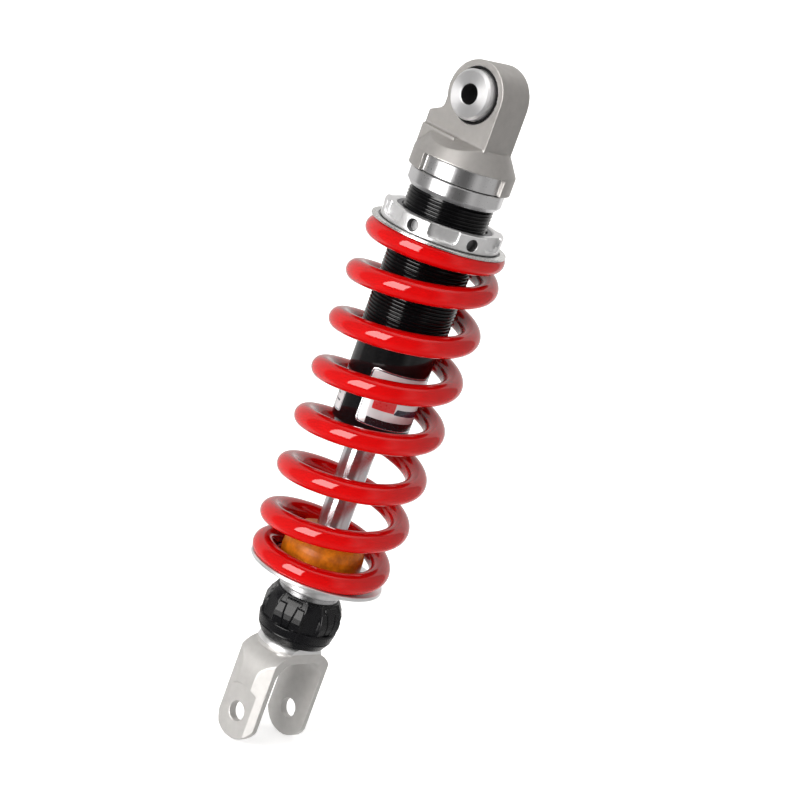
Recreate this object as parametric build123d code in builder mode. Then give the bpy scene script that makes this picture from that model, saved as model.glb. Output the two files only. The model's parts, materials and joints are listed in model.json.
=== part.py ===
from build123d import *
import math
import os

os.makedirs("parts", exist_ok=True)

# Rear shock absorber: a coil-over mono-tube damper with an eye at the top and a clevis at the bottom.
# Origin at the centre of the clevis bore. +Z runs up the damper axis to the eye. +X is along both bores.
# The damper stands at its full length, with the preload nut near the top of its thread.

# ---------------------------------------------------------------- driving dimensions, mm
eye_z = 333.5            # eye centre to clevis centre
bolt_r = 5.1             # both mounting bores take an M10 bolt

# head casting
head_r = 26.0            # outside of the round head
head_z0, head_z1, head_z2 = 292.0, 301.0, 311.3
cone_r = 19.3            # cone top radius
plate_half = 10.2        # half thickness of the eye plate
eye_r = 17.4             # outside of the eye
eye_bore_r = 11.0
seal_bore_r = 14.0
seal_bore_x = 8.0

# damper body
thread_r, thread_root_r = 21.5, 20.65
thread_pitch = 1.75
thread_top, thread_bottom = 282.4, 207.0
tube_r, tube_bore_r = 19.9, 18.0
tube_z0, tube_z1 = 158.6, 297.0

# rod
rod_r = 8.0
rod_stud_r, rod_tail_r, rod_core_r = 5.0, 6.0, 3.0
rod_shoulder = 189.0
run = 0.05               # radial running clearance

# spring and its seats
spring_mean_r, end_mean_r, wire_r = 31.8, 29.95, 5.5
spring_bottom, spring_top = 81.0, 262.15
seat_r = 34.7
lip_r = 24.2             # centring lips inside the end coils
nut_r, nut_z0, nut_z1 = 30.5, 263.3, 272.0

# clevis
clevis_hole_x, clevis_x, slot_half = 21.2, 22.8, 16.5
ear_half_y, ear_end_r = 13.3, 14.4
bridge_top, slot_top = 38.0, 33.0


# ================================================================ HEAD AND DAMPER BODY
# Head: round crown with a cone, eye plate, side lug, gas chamber and one window in the skirt.
with BuildPart() as top_cap:
    with BuildSketch(Plane.XZ):
        Polygon((0, head_z0), (head_r, head_z0), (head_r, head_z1), (cone_r, head_z2), (0, head_z2), align=None)
    revolve(axis=Axis.Z)
    # the floors either side of the plate fall away outwards
    for side in (1, -1):
        with BuildSketch(Plane.XZ):
            Polygon((side * plate_half, 311.3), (side * 30, 303.75), (side * 30, 320), (side * plate_half, 320), align=None)
        extrude(amount=40, both=True, mode=Mode.SUBTRACT)
    # lug on the +Y side
    with BuildSketch(Plane.XY.offset(head_z0)):
        with Locations((0, 13)):
            Rectangle(28, 26)
    extrude(amount=head_z2 - head_z0)
    # eye plate with its shoulder over the lug
    with BuildSketch(Plane.YZ) as plate_sk:
        Polygon((-eye_r, 295), (-eye_r, eye_z), (16.2, eye_z), (16.2, 321.64), (26.0, 317.05), (26.0, 295), align=None)
        fillet(plate_sk.vertices().sort_by_distance((26.0, 317.05))[0], 5.5)
        with Locations((0, eye_z)):
            Circle(eye_r)
        fillet(plate_sk.vertices().sort_by_distance((16.2, 321.64))[0], 3.5)
    extrude(amount=plate_half, both=True)
    Cylinder(head_r, 360, align=(Align.CENTER, Align.CENTER, Align.MIN), mode=Mode.INTERSECT)
    # window in the skirt
    with BuildSketch(Plane.XY.offset(head_z0 - 1)):
        with BuildLine():
            w1 = CenterArc((0, 0), 23.5, 170, 105)
            w2 = CenterArc((0, 0), 30.0, 170, 105)
            Line(w1 @ 0, w2 @ 0)
            Line(w1 @ 1, w2 @ 1)
        make_face()
    extrude(amount=head_z1 - head_z0 + 0.6, mode=Mode.SUBTRACT)
    # tube socket and gas chamber
    with BuildSketch(Plane.XZ):
        Polygon((0, 290), (thread_r, 290), (thread_r, tube_z1), (17.0, tube_z1), (17.0, 301), (11, 307), (0, 307), align=None)
    revolve(axis=Axis.Z, mode=Mode.SUBTRACT)
    # eye bore with a seal seat at each end
    with BuildSketch(Plane.YZ):
        with Locations((0, eye_z)):
            Circle(eye_bore_r)
    extrude(amount=30, both=True, mode=Mode.SUBTRACT)
    for side in (1, -1):
        with BuildSketch(Plane.YZ.offset(side * seal_bore_x)):
            with Locations((0, eye_z)):
                Circle(seal_bore_r)
        extrude(amount=side * 20, mode=Mode.SUBTRACT)
    # gas port in the lug
    with BuildSketch(Plane.XZ.offset(-18.0)):
        with Locations((0, 304.5)):
            Circle(4.5)
    extrude(amount=-12, mode=Mode.SUBTRACT)
    with BuildSketch(Plane.XZ.offset(-8.0)):
        with Locations((0, 304.5)):
            Circle(1.2)
    extrude(amount=-12, mode=Mode.SUBTRACT)
top_cap.part.label = "top_cap"
export_step(top_cap.part, "parts/top_cap.step")

# Gas plug with a hexagon socket.
with BuildPart() as gas_plug:
    with BuildSketch(Plane.XZ.offset(-19.2)):
        with Locations((0, 304.5)):
            Circle(4.5)
    extrude(amount=-5.8)
    chamfer(gas_plug.faces().sort_by(Axis.Y)[-1].edges(), 0.5)
    with BuildSketch(Plane.XZ.offset(-25.0)):
        with Locations((0, 304.5)):
            RegularPolygon(2.3, 6)
    extrude(amount=3.2, mode=Mode.SUBTRACT)
gas_plug.part.label = "gas_plug"
export_step(gas_plug.part, "parts/gas_plug.step")

# Sealing washer under the gas plug.
with BuildPart() as gas_plug_seal:
    with BuildSketch(Plane.XZ.offset(-18.0)):
        with Locations((0, 304.5)):
            Circle(4.4)
            Circle(1.4, mode=Mode.SUBTRACT)
    extrude(amount=-1.2)
gas_plug_seal.part.label = "gas_plug_seal"
export_step(gas_plug_seal.part, "parts/gas_plug_seal.step")

# Lock ring that jams the tube against the head.
with BuildPart() as body_lock_ring:
    with BuildSketch(Plane.XZ):
        Polygon((thread_r, 282.8), (21.9, 282.8), (24.0, 285.0), (24.0, 291.6), (23.6, 292.0), (thread_r, 292.0), align=None)
    revolve(axis=Axis.Z)
body_lock_ring.part.label = "body_lock_ring"
export_step(body_lock_ring.part, "parts/body_lock_ring.step")

# Damper tube: threaded upper half for the preload nut, plain lower half, bevelled bottom end.
thread_pts = [(tube_bore_r, tube_z1), (tube_r, tube_z1), (tube_r, 294.7), (thread_r, 294.7), (thread_r, thread_top)]
z = thread_top
while z - thread_pitch > thread_bottom:
    thread_pts += [
        (thread_r, z),
        (thread_root_r, z - 0.65),
        (thread_root_r, z - 0.85),
        (thread_r, z - 1.5),
    ]
    z -= thread_pitch
thread_pts += [(thread_r, z), (tube_r, z - 1.4), (tube_r, 161.2), (18.5, tube_z0), (tube_bore_r, tube_z0)]
clean = [thread_pts[0]]
for p in thread_pts[1:]:
    if math.dist(p, clean[-1]) > 1e-6:
        clean.append(p)
with BuildPart() as damper_body:
    with BuildSketch(Plane.XZ):
        Polygon(*clean, align=None)
    revolve(axis=Axis.Z)
    # groove for the circlip under the rod guide
    with BuildSketch(Plane.XZ):
        Polygon((17.5, 161.3), (18.7, 161.3), (18.7, 162.7), (17.5, 162.7), align=None)
    revolve(axis=Axis.Z, mode=Mode.SUBTRACT)
damper_body.part.label = "damper_body"
export_step(damper_body.part, "parts/damper_body.step")

# O-ring between tube and head.
with BuildPart() as cap_o_ring:
    with BuildSketch(Plane.XZ):
        with Locations((20.7, 295.8)):
            RectangleRounded(1.6, 2.2, 0.7)
    revolve(axis=Axis.Z)
cap_o_ring.part.label = "cap_o_ring"
export_step(cap_o_ring.part, "parts/cap_o_ring.step")

# ---------------------------------------------------------------- eye
# Plain bearing bush in the eye.
with BuildPart() as eye_bush:
    with BuildSketch(Plane.YZ):
        with Locations((0, eye_z)):
            Circle(eye_bore_r)
            Circle(9.0 + run, mode=Mode.SUBTRACT)
    extrude(amount=7.9, both=True)
eye_bush.part.label = "eye_bush"
export_step(eye_bush.part, "parts/eye_bush.step")

# Hardened sleeve that turns in the bush; the collars plug into its ends.
with BuildPart() as eye_sleeve:
    with BuildSketch(Plane.YZ):
        with Locations((0, eye_z)):
            Circle(9.0)
            Circle(bolt_r, mode=Mode.SUBTRACT)
    extrude(amount=8.2, both=True)
    for side in (1, -1):
        with BuildSketch(Plane.YZ.offset(side * 4.2)):
            with Locations((0, eye_z)):
                Circle(7.4)
        extrude(amount=side * 6, mode=Mode.SUBTRACT)
eye_sleeve.part.label = "eye_sleeve"
export_step(eye_sleeve.part, "parts/eye_sleeve.step")

# Two top-hat collars, one at each end of the sleeve.
with BuildPart() as eye_collars:
    for side in (1, -1):
        with BuildSketch(Plane.XY):
            Polygon(
                (side * 4.2, bolt_r), (side * 14.4, bolt_r), (side * 14.8, bolt_r + 0.4), (side * 14.8, 11.3), (side * 13.6, 12.5),
                (side * 8.4, 12.5), (side * 8.4, 7.4), (side * 4.2, 7.4), align=None,
            )
        revolve(axis=Axis.X)
eye_collars_part = Pos(0, 0, eye_z) * eye_collars.part
eye_collars_part.label = "eye_collars"
export_step(eye_collars_part, "parts/eye_collars.step")

# Two lip seals between the eye and the collars.
with BuildPart() as eye_seals:
    for side in (1, -1):
        with BuildSketch(Plane.XY):
            Polygon(
                (side * 8.0, 12.8), (side * 9.9, 12.8), (side * 10.25, 13.2), (side * 10.25, 13.7), (side * 10.0, seal_bore_r),
                (side * 8.0, seal_bore_r), align=None,
            )
        revolve(axis=Axis.X)
eye_seals_part = Pos(0, 0, eye_z) * eye_seals.part
eye_seals_part.label = "eye_seals"
export_step(eye_seals_part, "parts/eye_seals.step")

# ---------------------------------------------------------------- rod guide group, in the bottom of the tube
with BuildPart() as rod_guide:
    with BuildSketch(Plane.XZ):
        Polygon(
            (12.0, 163.0), (tube_bore_r, 163.0), (tube_bore_r, 173.0), (16.2, 173.0), (16.2, 175.6), (tube_bore_r, 175.6),
            (tube_bore_r, 180.0), (17.0, 181.0), (8.6, 181.0), (8.6, 179.0), (9.5, 179.0), (9.5, 168.0), (12.0, 168.0), align=None,
        )
    revolve(axis=Axis.Z)
rod_guide.part.label = "rod_guide"
export_step(rod_guide.part, "parts/rod_guide.step")

with BuildPart() as guide_bush:
    with BuildSketch(Plane.XZ):
        Polygon((rod_r + run, 168.2), (9.5, 168.2), (9.5, 179.0), (rod_r + run, 179.0), align=None)
    revolve(axis=Axis.Z)
guide_bush.part.label = "guide_bush"
export_step(guide_bush.part, "parts/guide_bush.step")

with BuildPart() as guide_o_ring:
    with BuildSketch(Plane.XZ):
        with Locations((17.1, 174.3)):
            RectangleRounded(1.8, 2.4, 0.8)
    revolve(axis=Axis.Z)
guide_o_ring.part.label = "guide_o_ring"
export_step(guide_o_ring.part, "parts/guide_o_ring.step")

# Rod seal with a lip on each side of a U groove.
with BuildPart() as rod_seal:
    with BuildSketch(Plane.XZ):
        Polygon(
            (rod_r + run, 163.4), (12.0, 163.4), (12.0, 167.8), (11.0, 167.8), (10.2, 165.6), (9.4, 167.8), (rod_r + run, 167.8),
            align=None,
        )
    revolve(axis=Axis.Z)
rod_seal.part.label = "rod_seal"
export_step(rod_seal.part, "parts/rod_seal.step")

# Circlip under the guide, with its gap.
with BuildPart() as guide_circlip:
    with BuildSketch(Plane.XY.offset(161.4)):
        Circle(18.6)
        Circle(15.8, mode=Mode.SUBTRACT)
        with Locations((17, 0)):
            Rectangle(6, 8, mode=Mode.SUBTRACT)
    extrude(amount=1.2)
guide_circlip.part.label = "guide_circlip"
export_step(guide_circlip.part, "parts/guide_circlip.step")

# Bevelled end cap that closes the tube and carries the wiper.
with BuildPart() as end_cap:
    with BuildSketch(Plane.XZ):
        Polygon((10.6, 158.0), (16.2, 158.0), (tube_bore_r, 159.6), (tube_bore_r, 161.2), (10.6, 161.2), align=None)
    revolve(axis=Axis.Z)
end_cap.part.label = "end_cap"
export_step(end_cap.part, "parts/end_cap.step")

with BuildPart() as rod_wiper:
    with BuildSketch(Plane.XZ):
        Polygon(
            (rod_r + run, 156.9), (rod_r + 0.7, 156.9), (9.6, 158.4), (10.6, 158.4), (10.6, 161.2), (rod_r + run, 161.2), align=None,
        )
    revolve(axis=Axis.Z)
rod_wiper.part.label = "rod_wiper"
export_step(rod_wiper.part, "parts/rod_wiper.step")

# ================================================================ FLOATING PISTON
with BuildPart() as floating_piston:
    with BuildSketch(Plane.XZ):
        Polygon(
            (0, 264.0), (17.4, 264.0), (tube_bore_r - run, 264.6), (tube_bore_r - run, 267.6), (16.0, 267.6), (16.0, 270.2),
            (tube_bore_r - run, 270.2), (tube_bore_r - run, 274.0), (13.0, 274.0), (13.0, 268.0), (0, 268.0), align=None,
        )
    revolve(axis=Axis.Z)
floating_piston.part.label = "floating_piston"
export_step(floating_piston.part, "parts/floating_piston.step")

with BuildPart() as floating_piston_ring:
    with BuildSketch(Plane.XZ):
        with Locations((16.975, 268.9)):
            RectangleRounded(1.95, 2.4, 0.85)
    revolve(axis=Axis.Z)
floating_piston_ring.part.label = "floating_piston_ring"
export_step(floating_piston_ring.part, "parts/floating_piston_ring.step")

# ================================================================ PRELOAD NUT AND SPRING WASHER
with BuildPart() as preload_nut:
    with BuildSketch(Plane.XZ):
        Polygon(
            (thread_r + 0.08, nut_z0 + 0.02), (nut_r - 0.5, nut_z0 + 0.02), (nut_r, nut_z0 + 0.5), (nut_r, nut_z1 - 0.5),
            (nut_r - 0.5, nut_z1), (25.2, nut_z1), (24.6, nut_z1 - 0.6), (24.6, nut_z1 - 2.0), (22.3, nut_z1 - 2.0),
            (thread_r + 0.08, nut_z1 - 2.7), align=None,
        )
    revolve(axis=Axis.Z)
    # open-topped spanner pockets with rounded lower corners
    for k in range(6):
        a0 = math.radians(-136.5 + 60 * k)
        out = (math.cos(a0), math.sin(a0), 0)
        pocket_plane = Plane(origin=(27.4 * out[0], 27.4 * out[1], nut_z0 + 1.9), x_dir=(-out[1], out[0], 0), z_dir=out)
        with BuildSketch(pocket_plane) as pocket_sk:
            Rectangle(15.2, 14, align=(Align.CENTER, Align.MIN))
            fillet(pocket_sk.vertices().group_by(Axis.Z)[0], 2.6)
        extrude(amount=8, mode=Mode.SUBTRACT)
    # round peg holes between them
    for k in range(6):
        a1 = math.radians(-106.5 + 60 * k)
        out = (math.cos(a1), math.sin(a1), 0)
        with BuildSketch(Plane(origin=((nut_r + 1) * out[0], (nut_r + 1) * out[1], 267.4), z_dir=out)):
            Circle(3.1)
        extrude(amount=-5.6, mode=Mode.SUBTRACT)
preload_nut.part.label = "preload_nut"
export_step(preload_nut.part, "parts/preload_nut.step")

# Snap ring in the nut's top recess, with its gap.
with BuildPart() as nut_snap_ring:
    with BuildSketch(Plane.XY.offset(nut_z1 - 2.0)):
        with BuildLine():
            r1 = CenterArc((0, 0), 22.2, -93, 338)
            r2 = CenterArc((0, 0), 24.5, -93, 338)
            Line(r1 @ 0, r2 @ 0)
            Line(r1 @ 1, r2 @ 1)
        make_face()
    extrude(amount=1.5)
nut_snap_ring.part.label = "nut_snap_ring"
export_step(nut_snap_ring.part, "parts/nut_snap_ring.step")

with BuildPart() as spring_washer:
    with BuildSketch(Plane.XZ):
        Polygon(
            (21.7, 258.6), (lip_r - 0.6, 258.6), (lip_r, 259.2), (lip_r, spring_top), (seat_r - 0.2, spring_top), (seat_r, spring_top + 0.2),
            (seat_r, nut_z0 - 0.25), (seat_r - 0.25, nut_z0),
            (21.7, nut_z0), align=None,
        )
    revolve(axis=Axis.Z)
spring_washer.part.label = "spring_washer"
export_step(spring_washer.part, "parts/spring_washer.step")

# ================================================================ COIL SPRING
# Height of the wire's centre against turns from the start angle.
spring_start_deg = 128.9
spring_table = [
    (-0.25, 84.6), (0.0, 84.8), (0.25, 85.3), (0.375, 86.7), (0.5, 89.6), (0.75, 96.3), (1.0, 101.6), (1.25, 107.6), (1.5, 114.0),
    (2.0, 127.5), (2.5, 139.9), (3.0, 154.1), (3.5, 166.8), (4.0, 180.3), (4.5, 193.4), (5.0, 206.6), (5.5, 218.8), (6.0, 232.3),
    (6.5, 244.8), (6.75, 251.0), (7.0, 256.1), (7.25, 258.0), (7.5, 259.2),
]


def coil_radius(t):
    # the closed end coils are wound a little smaller
    low = min(max((t - 0.45) / 0.55, 0.0), 1.0)
    high = min(max((7.0 - t) / 0.55, 0.0), 1.0)
    u = min(low, high)
    return end_mean_r + (spring_mean_r - end_mean_r) * u * u * (3 - 2 * u)


def wire_height(t):
    # cubic through the table, with end slopes of zero
    pts = spring_table
    for i in range(len(pts) - 1):
        t0, z0 = pts[i]
        t1, z1 = pts[i + 1]
        if t <= t1 or i == len(pts) - 2:
            h = t1 - t0
            m0 = 0.0 if i == 0 else (z1 - pts[i - 1][1]) / (t1 - pts[i - 1][0])
            m1 = 0.0 if i == len(pts) - 2 else (pts[i + 2][1] - z0) / (pts[i + 2][0] - t0)
            u = (t - t0) / h
            return (
                (2 * u**3 - 3 * u**2 + 1) * z0 + (u**3 - 2 * u**2 + u) * h * m0 + (-2 * u**3 + 3 * u**2) * z1 + (u**3 - u**2) * h * m1
            )


wire_points = []
for i in range(94):
    t = -0.25 + i * 7.75 / 93
    a = math.radians(spring_start_deg + 360 * t)
    wire_points.append((coil_radius(t) * math.cos(a), coil_radius(t) * math.sin(a), wire_height(t)))

with BuildPart() as coil_spring:
    with BuildLine() as wire_path:
        Spline(*wire_points)
    with BuildSketch(Plane(origin=wire_path.line @ 0, z_dir=wire_path.line % 0)):
        Circle(wire_r)
    sweep(path=wire_path.line)
    # ground end faces
    with Locations((0, 0, spring_bottom)):
        Cylinder(50, 40, align=(Align.CENTER, Align.CENTER, Align.MAX), mode=Mode.SUBTRACT)
    with Locations((0, 0, spring_top)):
        Cylinder(50, 40, align=(Align.CENTER, Align.CENTER, Align.MIN), mode=Mode.SUBTRACT)
coil_spring.part.label = "coil_spring"
export_step(coil_spring.part, "parts/coil_spring.step")

# ================================================================ ROD ASSEMBLY
# Chromed rod: tail screwed into the clevis, hollow core for the rebound needle, stud for the piston.
with BuildPart() as piston_rod:
    with BuildSketch(Plane.XZ):
        Polygon(
            (0, 33.6), (rod_tail_r - 0.6, 33.6), (rod_tail_r, 34.2), (rod_tail_r, 43.0), (rod_r, 43.0), (rod_r, rod_shoulder),
            (rod_stud_r, rod_shoulder), (rod_stud_r, 206.6), (rod_stud_r - 0.6, 207.2), (1.5, 207.2), (1.5, 203.0), (rod_core_r, 201.0),
            (rod_core_r, 50.0), (0, 50.0), align=None,
        )
    revolve(axis=Axis.Z)
    # slot for the cross pin
    with BuildSketch(Plane.XZ):
        with Locations((0, 55.0)):
            Rectangle(3.3, 5.5)
    extrude(amount=15, both=True, mode=Mode.SUBTRACT)
    # pocket for the click spring
    with BuildSketch(Plane.YZ.offset(5.0)):
        with Locations((0, 62.0)):
            Circle(1.55)
    extrude(amount=6, mode=Mode.SUBTRACT)
piston_rod.part.label = "piston_rod"
export_step(piston_rod.part, "parts/piston_rod.step")

with BuildPart() as top_out_bumper:
    with BuildSketch(Plane.XZ):
        Polygon((rod_r, 185.6), (11.2, 185.6), (12.0, 186.4), (12.0, 188.0), (rod_r, 188.0), align=None)
    revolve(axis=Axis.Z)
top_out_bumper.part.label = "top_out_bumper"
export_step(top_out_bumper.part, "parts/top_out_bumper.step")

with BuildPart() as stop_washer:
    with BuildSketch(Plane.XZ):
        Polygon((rod_r, 188.0), (12.2, 188.0), (12.2, 190.2), (rod_stud_r, 190.2), (rod_stud_r, rod_shoulder), (rod_r, rod_shoulder), align=None)
    revolve(axis=Axis.Z)
stop_washer.part.label = "stop_washer"
export_step(stop_washer.part, "parts/stop_washer.step")

with BuildPart() as compression_shims:
    for i, r in enumerate((9.0, 11.0, 13.0, 15.0)):
        with BuildSketch(Plane.XY.offset(190.2 + 0.35 * i)):
            Circle(r)
            Circle(rod_stud_r, mode=Mode.SUBTRACT)
        extrude(amount=0.35)
compression_shims.part.label = "compression_shims"
export_step(compression_shims.part, "parts/compression_shims.step")

# Main piston with six oil ports.
with BuildPart() as main_piston:
    with BuildSketch(Plane.XZ):
        Polygon(
            (rod_stud_r, 191.6), (16.2, 191.6), (17.6, 192.6), (17.6, 193.0), (16.4, 193.0), (16.4, 198.6), (17.6, 198.6), (17.6, 199.2),
            (16.4, 200.0), (rod_stud_r, 200.0), align=None,
        )
    revolve(axis=Axis.Z)
    with BuildSketch(Plane.XY.offset(200)):
        with PolarLocations(10.5, 6):
            Circle(1.8)
    extrude(amount=-8.4, mode=Mode.SUBTRACT)
main_piston.part.label = "main_piston"
export_step(main_piston.part, "parts/main_piston.step")

with BuildPart() as piston_band:
    with BuildSketch(Plane.XZ):
        Polygon((16.4, 193.1), (tube_bore_r - run, 193.1), (tube_bore_r - run, 198.5), (16.4, 198.5), align=None)
    revolve(axis=Axis.Z)
piston_band.part.label = "piston_band"
export_step(piston_band.part, "parts/piston_band.step")

with BuildPart() as rebound_shims:
    for i, r in enumerate((14.0, 12.0, 10.0, 8.5)):
        with BuildSketch(Plane.XY.offset(200.0 + 0.35 * i)):
            Circle(r)
            Circle(rod_stud_r, mode=Mode.SUBTRACT)
        extrude(amount=0.35)
rebound_shims.part.label = "rebound_shims"
export_step(rebound_shims.part, "parts/rebound_shims.step")

with BuildPart() as piston_nut:
    with BuildSketch(Plane.XY.offset(201.4)):
        RegularPolygon(8.6, 6)
        Circle(rod_stud_r, mode=Mode.SUBTRACT)
    extrude(amount=4.6)
piston_nut.part.label = "piston_nut"
export_step(piston_nut.part, "parts/piston_nut.step")

# Polyurethane bump stop on its washer.
with BuildPart() as bump_stop:
    with BuildSketch(Plane.XZ):
        with BuildLine():
            Line((rod_r, 82.0), (20.4, 82.0))
            Line((20.4, 82.0), (21.0, 82.8))
            Line((21.0, 82.8), (21.0, 90.5))
            Spline((21.0, 90.5), (19.6, 96.6), (15.4, 100.9), (12.0, 102.0), tangents=[(0, 1), (-1, 0)])
            Line((12.0, 102.0), (rod_r, 102.0))
            Line((rod_r, 102.0), (rod_r, 82.0))
        make_face()
    revolve(axis=Axis.Z)
bump_stop.part.label = "bump_stop"
export_step(bump_stop.part, "parts/bump_stop.step")

with BuildPart() as bump_washer:
    with BuildSketch(Plane.XZ):
        Polygon((rod_r, 81.0), (21.6, 81.0), (21.6, 82.0), (rod_r, 82.0), align=None)
    revolve(axis=Axis.Z)
bump_washer.part.label = "bump_washer"
export_step(bump_washer.part, "parts/bump_washer.step")

# Lower spring seat: thin flange, centring lip and hub.
with BuildPart() as lower_spring_seat:
    with BuildSketch(Plane.XZ):
        Polygon(
            (rod_r, 70.0), (16.4, 70.0), (17.0, 70.6), (17.0, 77.0), (18.6, 79.0), (seat_r - 0.3, 79.0), (seat_r, 79.3),
            (seat_r, 80.7), (seat_r - 0.3, spring_bottom), (lip_r, spring_bottom), (lip_r, 83.0), (lip_r - 0.4, 83.4), (22.4, 83.4), (22.0, 83.0),
            (22.0, spring_bottom), (rod_r, spring_bottom), align=None,
        )
    revolve(axis=Axis.Z)
lower_spring_seat.part.label = "lower_spring_seat"
export_step(lower_spring_seat.part, "parts/lower_spring_seat.step")

# Spacer that carries the seat on the clevis and the knob turns on.
with BuildPart() as seat_spacer:
    with BuildSketch(Plane.XZ):
        Polygon((rod_r, 43.0), (10.5, 43.0), (10.5, 67.0), (15.6, 67.0), (15.6, 70.0), (rod_r, 70.0), align=None)
    revolve(axis=Axis.Z)
    with BuildSketch(Plane.XZ):
        with Locations((0, 55.0)):
            Rectangle(3.3, 5.5)
    extrude(amount=15, both=True, mode=Mode.SUBTRACT)
    with BuildSketch(Plane.YZ.offset(5.0)):
        with Locations((0, 62.0)):
            Circle(1.55)
    extrude(amount=10, mode=Mode.SUBTRACT)
seat_spacer.part.label = "seat_spacer"
export_step(seat_spacer.part, "parts/seat_spacer.step")

# Click spring and ball between spacer and knob.
with BuildPart() as click_spring:
    with BuildSketch(Plane.YZ.offset(5.0)):
        with Locations((0, 62.0)):
            Circle(1.4)
            Circle(0.9, mode=Mode.SUBTRACT)
    extrude(amount=4.0)
click_spring.part.label = "click_spring"
export_step(click_spring.part, "parts/click_spring.step")

with BuildPart() as click_ball:
    with Locations((10.5, 0, 62.0)):
        Sphere(1.5)
click_ball.part.label = "click_ball"
export_step(click_ball.part, "parts/click_ball.step")

# Clevis: forked foot with a bored ear each side and a short round neck.
with BuildPart() as clevis:
    with BuildSketch(Plane.XZ) as fork_sk:
        Rectangle(2 * clevis_x, bridge_top + 15, align=(Align.CENTER, Align.MAX))
    # the block hangs from the bridge top
    extrude(amount=ear_half_y, both=True)
clevis_blank = Pos(0, 0, bridge_top) * clevis.part

with BuildPart() as clevis:
    add(clevis_blank)
    # rounded shoulders
    fillet(clevis.edges().filter_by(Axis.Y).group_by(Axis.Z)[-1], 16.0)
    # bevelled outer faces
    for sx in (1, -1):
        for sy in (1, -1):
            with BuildSketch(Plane.XY.offset(-20)):
                Polygon(
                    (sx * clevis_x, sy * 5.5), (sx * 30, sy * 5.5), (sx * 30, sy * 14), (sx * 19.2, sy * 14), (sx * 19.4, sy * ear_half_y),
                    align=None,
                )
            extrude(amount=52, mode=Mode.SUBTRACT)
    # round lower end of the ears
    with BuildSketch(Plane.YZ) as ear_end:
        Rectangle(60, 60, align=(Align.CENTER, Align.MAX))
        Circle(ear_end_r, mode=Mode.SUBTRACT)
    extrude(amount=40, both=True, mode=Mode.SUBTRACT)
    # flat round spot faces about the bore
    for sx in (1, -1):
        with BuildSketch(Plane.YZ.offset(sx * clevis_hole_x)):
            Circle(15.0)
        extrude(amount=sx * 10, mode=Mode.SUBTRACT)
    # neck
    with BuildSketch(Plane.XZ):
        with BuildLine():
            Line((0, 36.0), (17.0, 36.0))
            Line((17.0, 36.0), (17.0, 38.0))
            RadiusArc((17.0, 38.0), (13.2, 41.6), -4.2)
            Line((13.2, 41.6), (13.0, 43.0))
            Line((13.0, 43.0), (0, 43.0))
            Line((0, 43.0), (0, 36.0))
        make_face()
    revolve(axis=Axis.Z)
    Box(80, 2 * ear_half_y, 200, mode=Mode.INTERSECT)
    # slot between the ears
    with BuildSketch(Plane.XZ) as slot_sk:
        with Locations((0, slot_top)):
            Rectangle(2 * slot_half, 60, align=(Align.CENTER, Align.MAX))
        fillet(slot_sk.vertices().group_by(Axis.Y)[-1], 10.0)
    extrude(amount=40, both=True, mode=Mode.SUBTRACT)
    # bolt holes and the rod's threaded hole
    with BuildSketch(Plane.YZ):
        Circle(bolt_r)
    extrude(amount=40, both=True, mode=Mode.SUBTRACT)
    with BuildSketch(Plane.XY.offset(30)):
        Circle(rod_tail_r)
    extrude(amount=20, mode=Mode.SUBTRACT)
clevis.part.label = "clevis"
export_step(clevis.part, "parts/clevis.step")

# ================================================================ REBOUND ADJUSTER
# Knob with five ribbed lobes; it turns on the spacer.
knob_lobes = 5
knob_start_deg = -158.0
with BuildPart() as rebound_knob:
    with BuildSketch(Plane.XZ):
        Polygon(
            (10.5 + run, 43.4), (13.8, 43.4), (13.8, 42.0), (17.0, 42.0), (19.2, 45.6), (20.2, 50.0), (21.3, 55.6), (21.2, 58.6),
            (19.6, 62.8), (17.4, 66.6), (16.6, 67.4), (16.0, 67.4), (16.0, 66.7), (10.5 + run, 66.7), align=None,
        )
    revolve(axis=Axis.Z)
    # flats between the lobes
    for k in range(knob_lobes):
        a2 = math.radians(knob_start_deg + 36 + 72 * k)
        with BuildSketch(Plane(origin=(19.0 * math.cos(a2), 19.0 * math.sin(a2), 56.5), z_dir=(math.cos(a2), math.sin(a2), 0))):
            Rectangle(40, 30)
        extrude(amount=6, mode=Mode.SUBTRACT)
    # inner grooves for the cross pin and the click ball
    with BuildSketch(Plane.XZ):
        Polygon((10.0, 52.0), (12.6, 52.0), (12.6, 58.0), (10.0, 58.0), align=None)
    revolve(axis=Axis.Z, mode=Mode.SUBTRACT)
    with BuildSketch(Plane.XZ):
        Polygon((10.0, 60.2), (12.3, 60.2), (12.3, 63.8), (10.0, 63.8), align=None)
    revolve(axis=Axis.Z, mode=Mode.SUBTRACT)
rebound_knob.part.label = "rebound_knob"
export_step(rebound_knob.part, "parts/rebound_knob.step")

# Needle in the rod's core, moved by a cross pin that runs in the knob's groove.
with BuildPart() as rebound_needle:
    with BuildSketch(Plane.XZ):
        Polygon((0, 51.5), (2.6, 51.5), (2.6, 198.0), (0.6, 202.0), (0, 202.0), align=None)
    revolve(axis=Axis.Z)
    with BuildSketch(Plane.XZ):
        with Locations((0, 55.0)):
            Circle(1.5)
    extrude(amount=10, both=True, mode=Mode.SUBTRACT)
rebound_needle.part.label = "rebound_needle"
export_step(rebound_needle.part, "parts/rebound_needle.step")

with BuildPart() as adjuster_pin:
    with BuildSketch(Plane.XZ):
        with Locations((0, 55.0)):
            Circle(1.5)
    extrude(amount=12.2, both=True)
adjuster_pin.part.label = "adjuster_pin"
export_step(adjuster_pin.part, "parts/adjuster_pin.step")
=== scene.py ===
import bpy, bmesh, math, json
import numpy as np
from mathutils import Vector, Matrix


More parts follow.
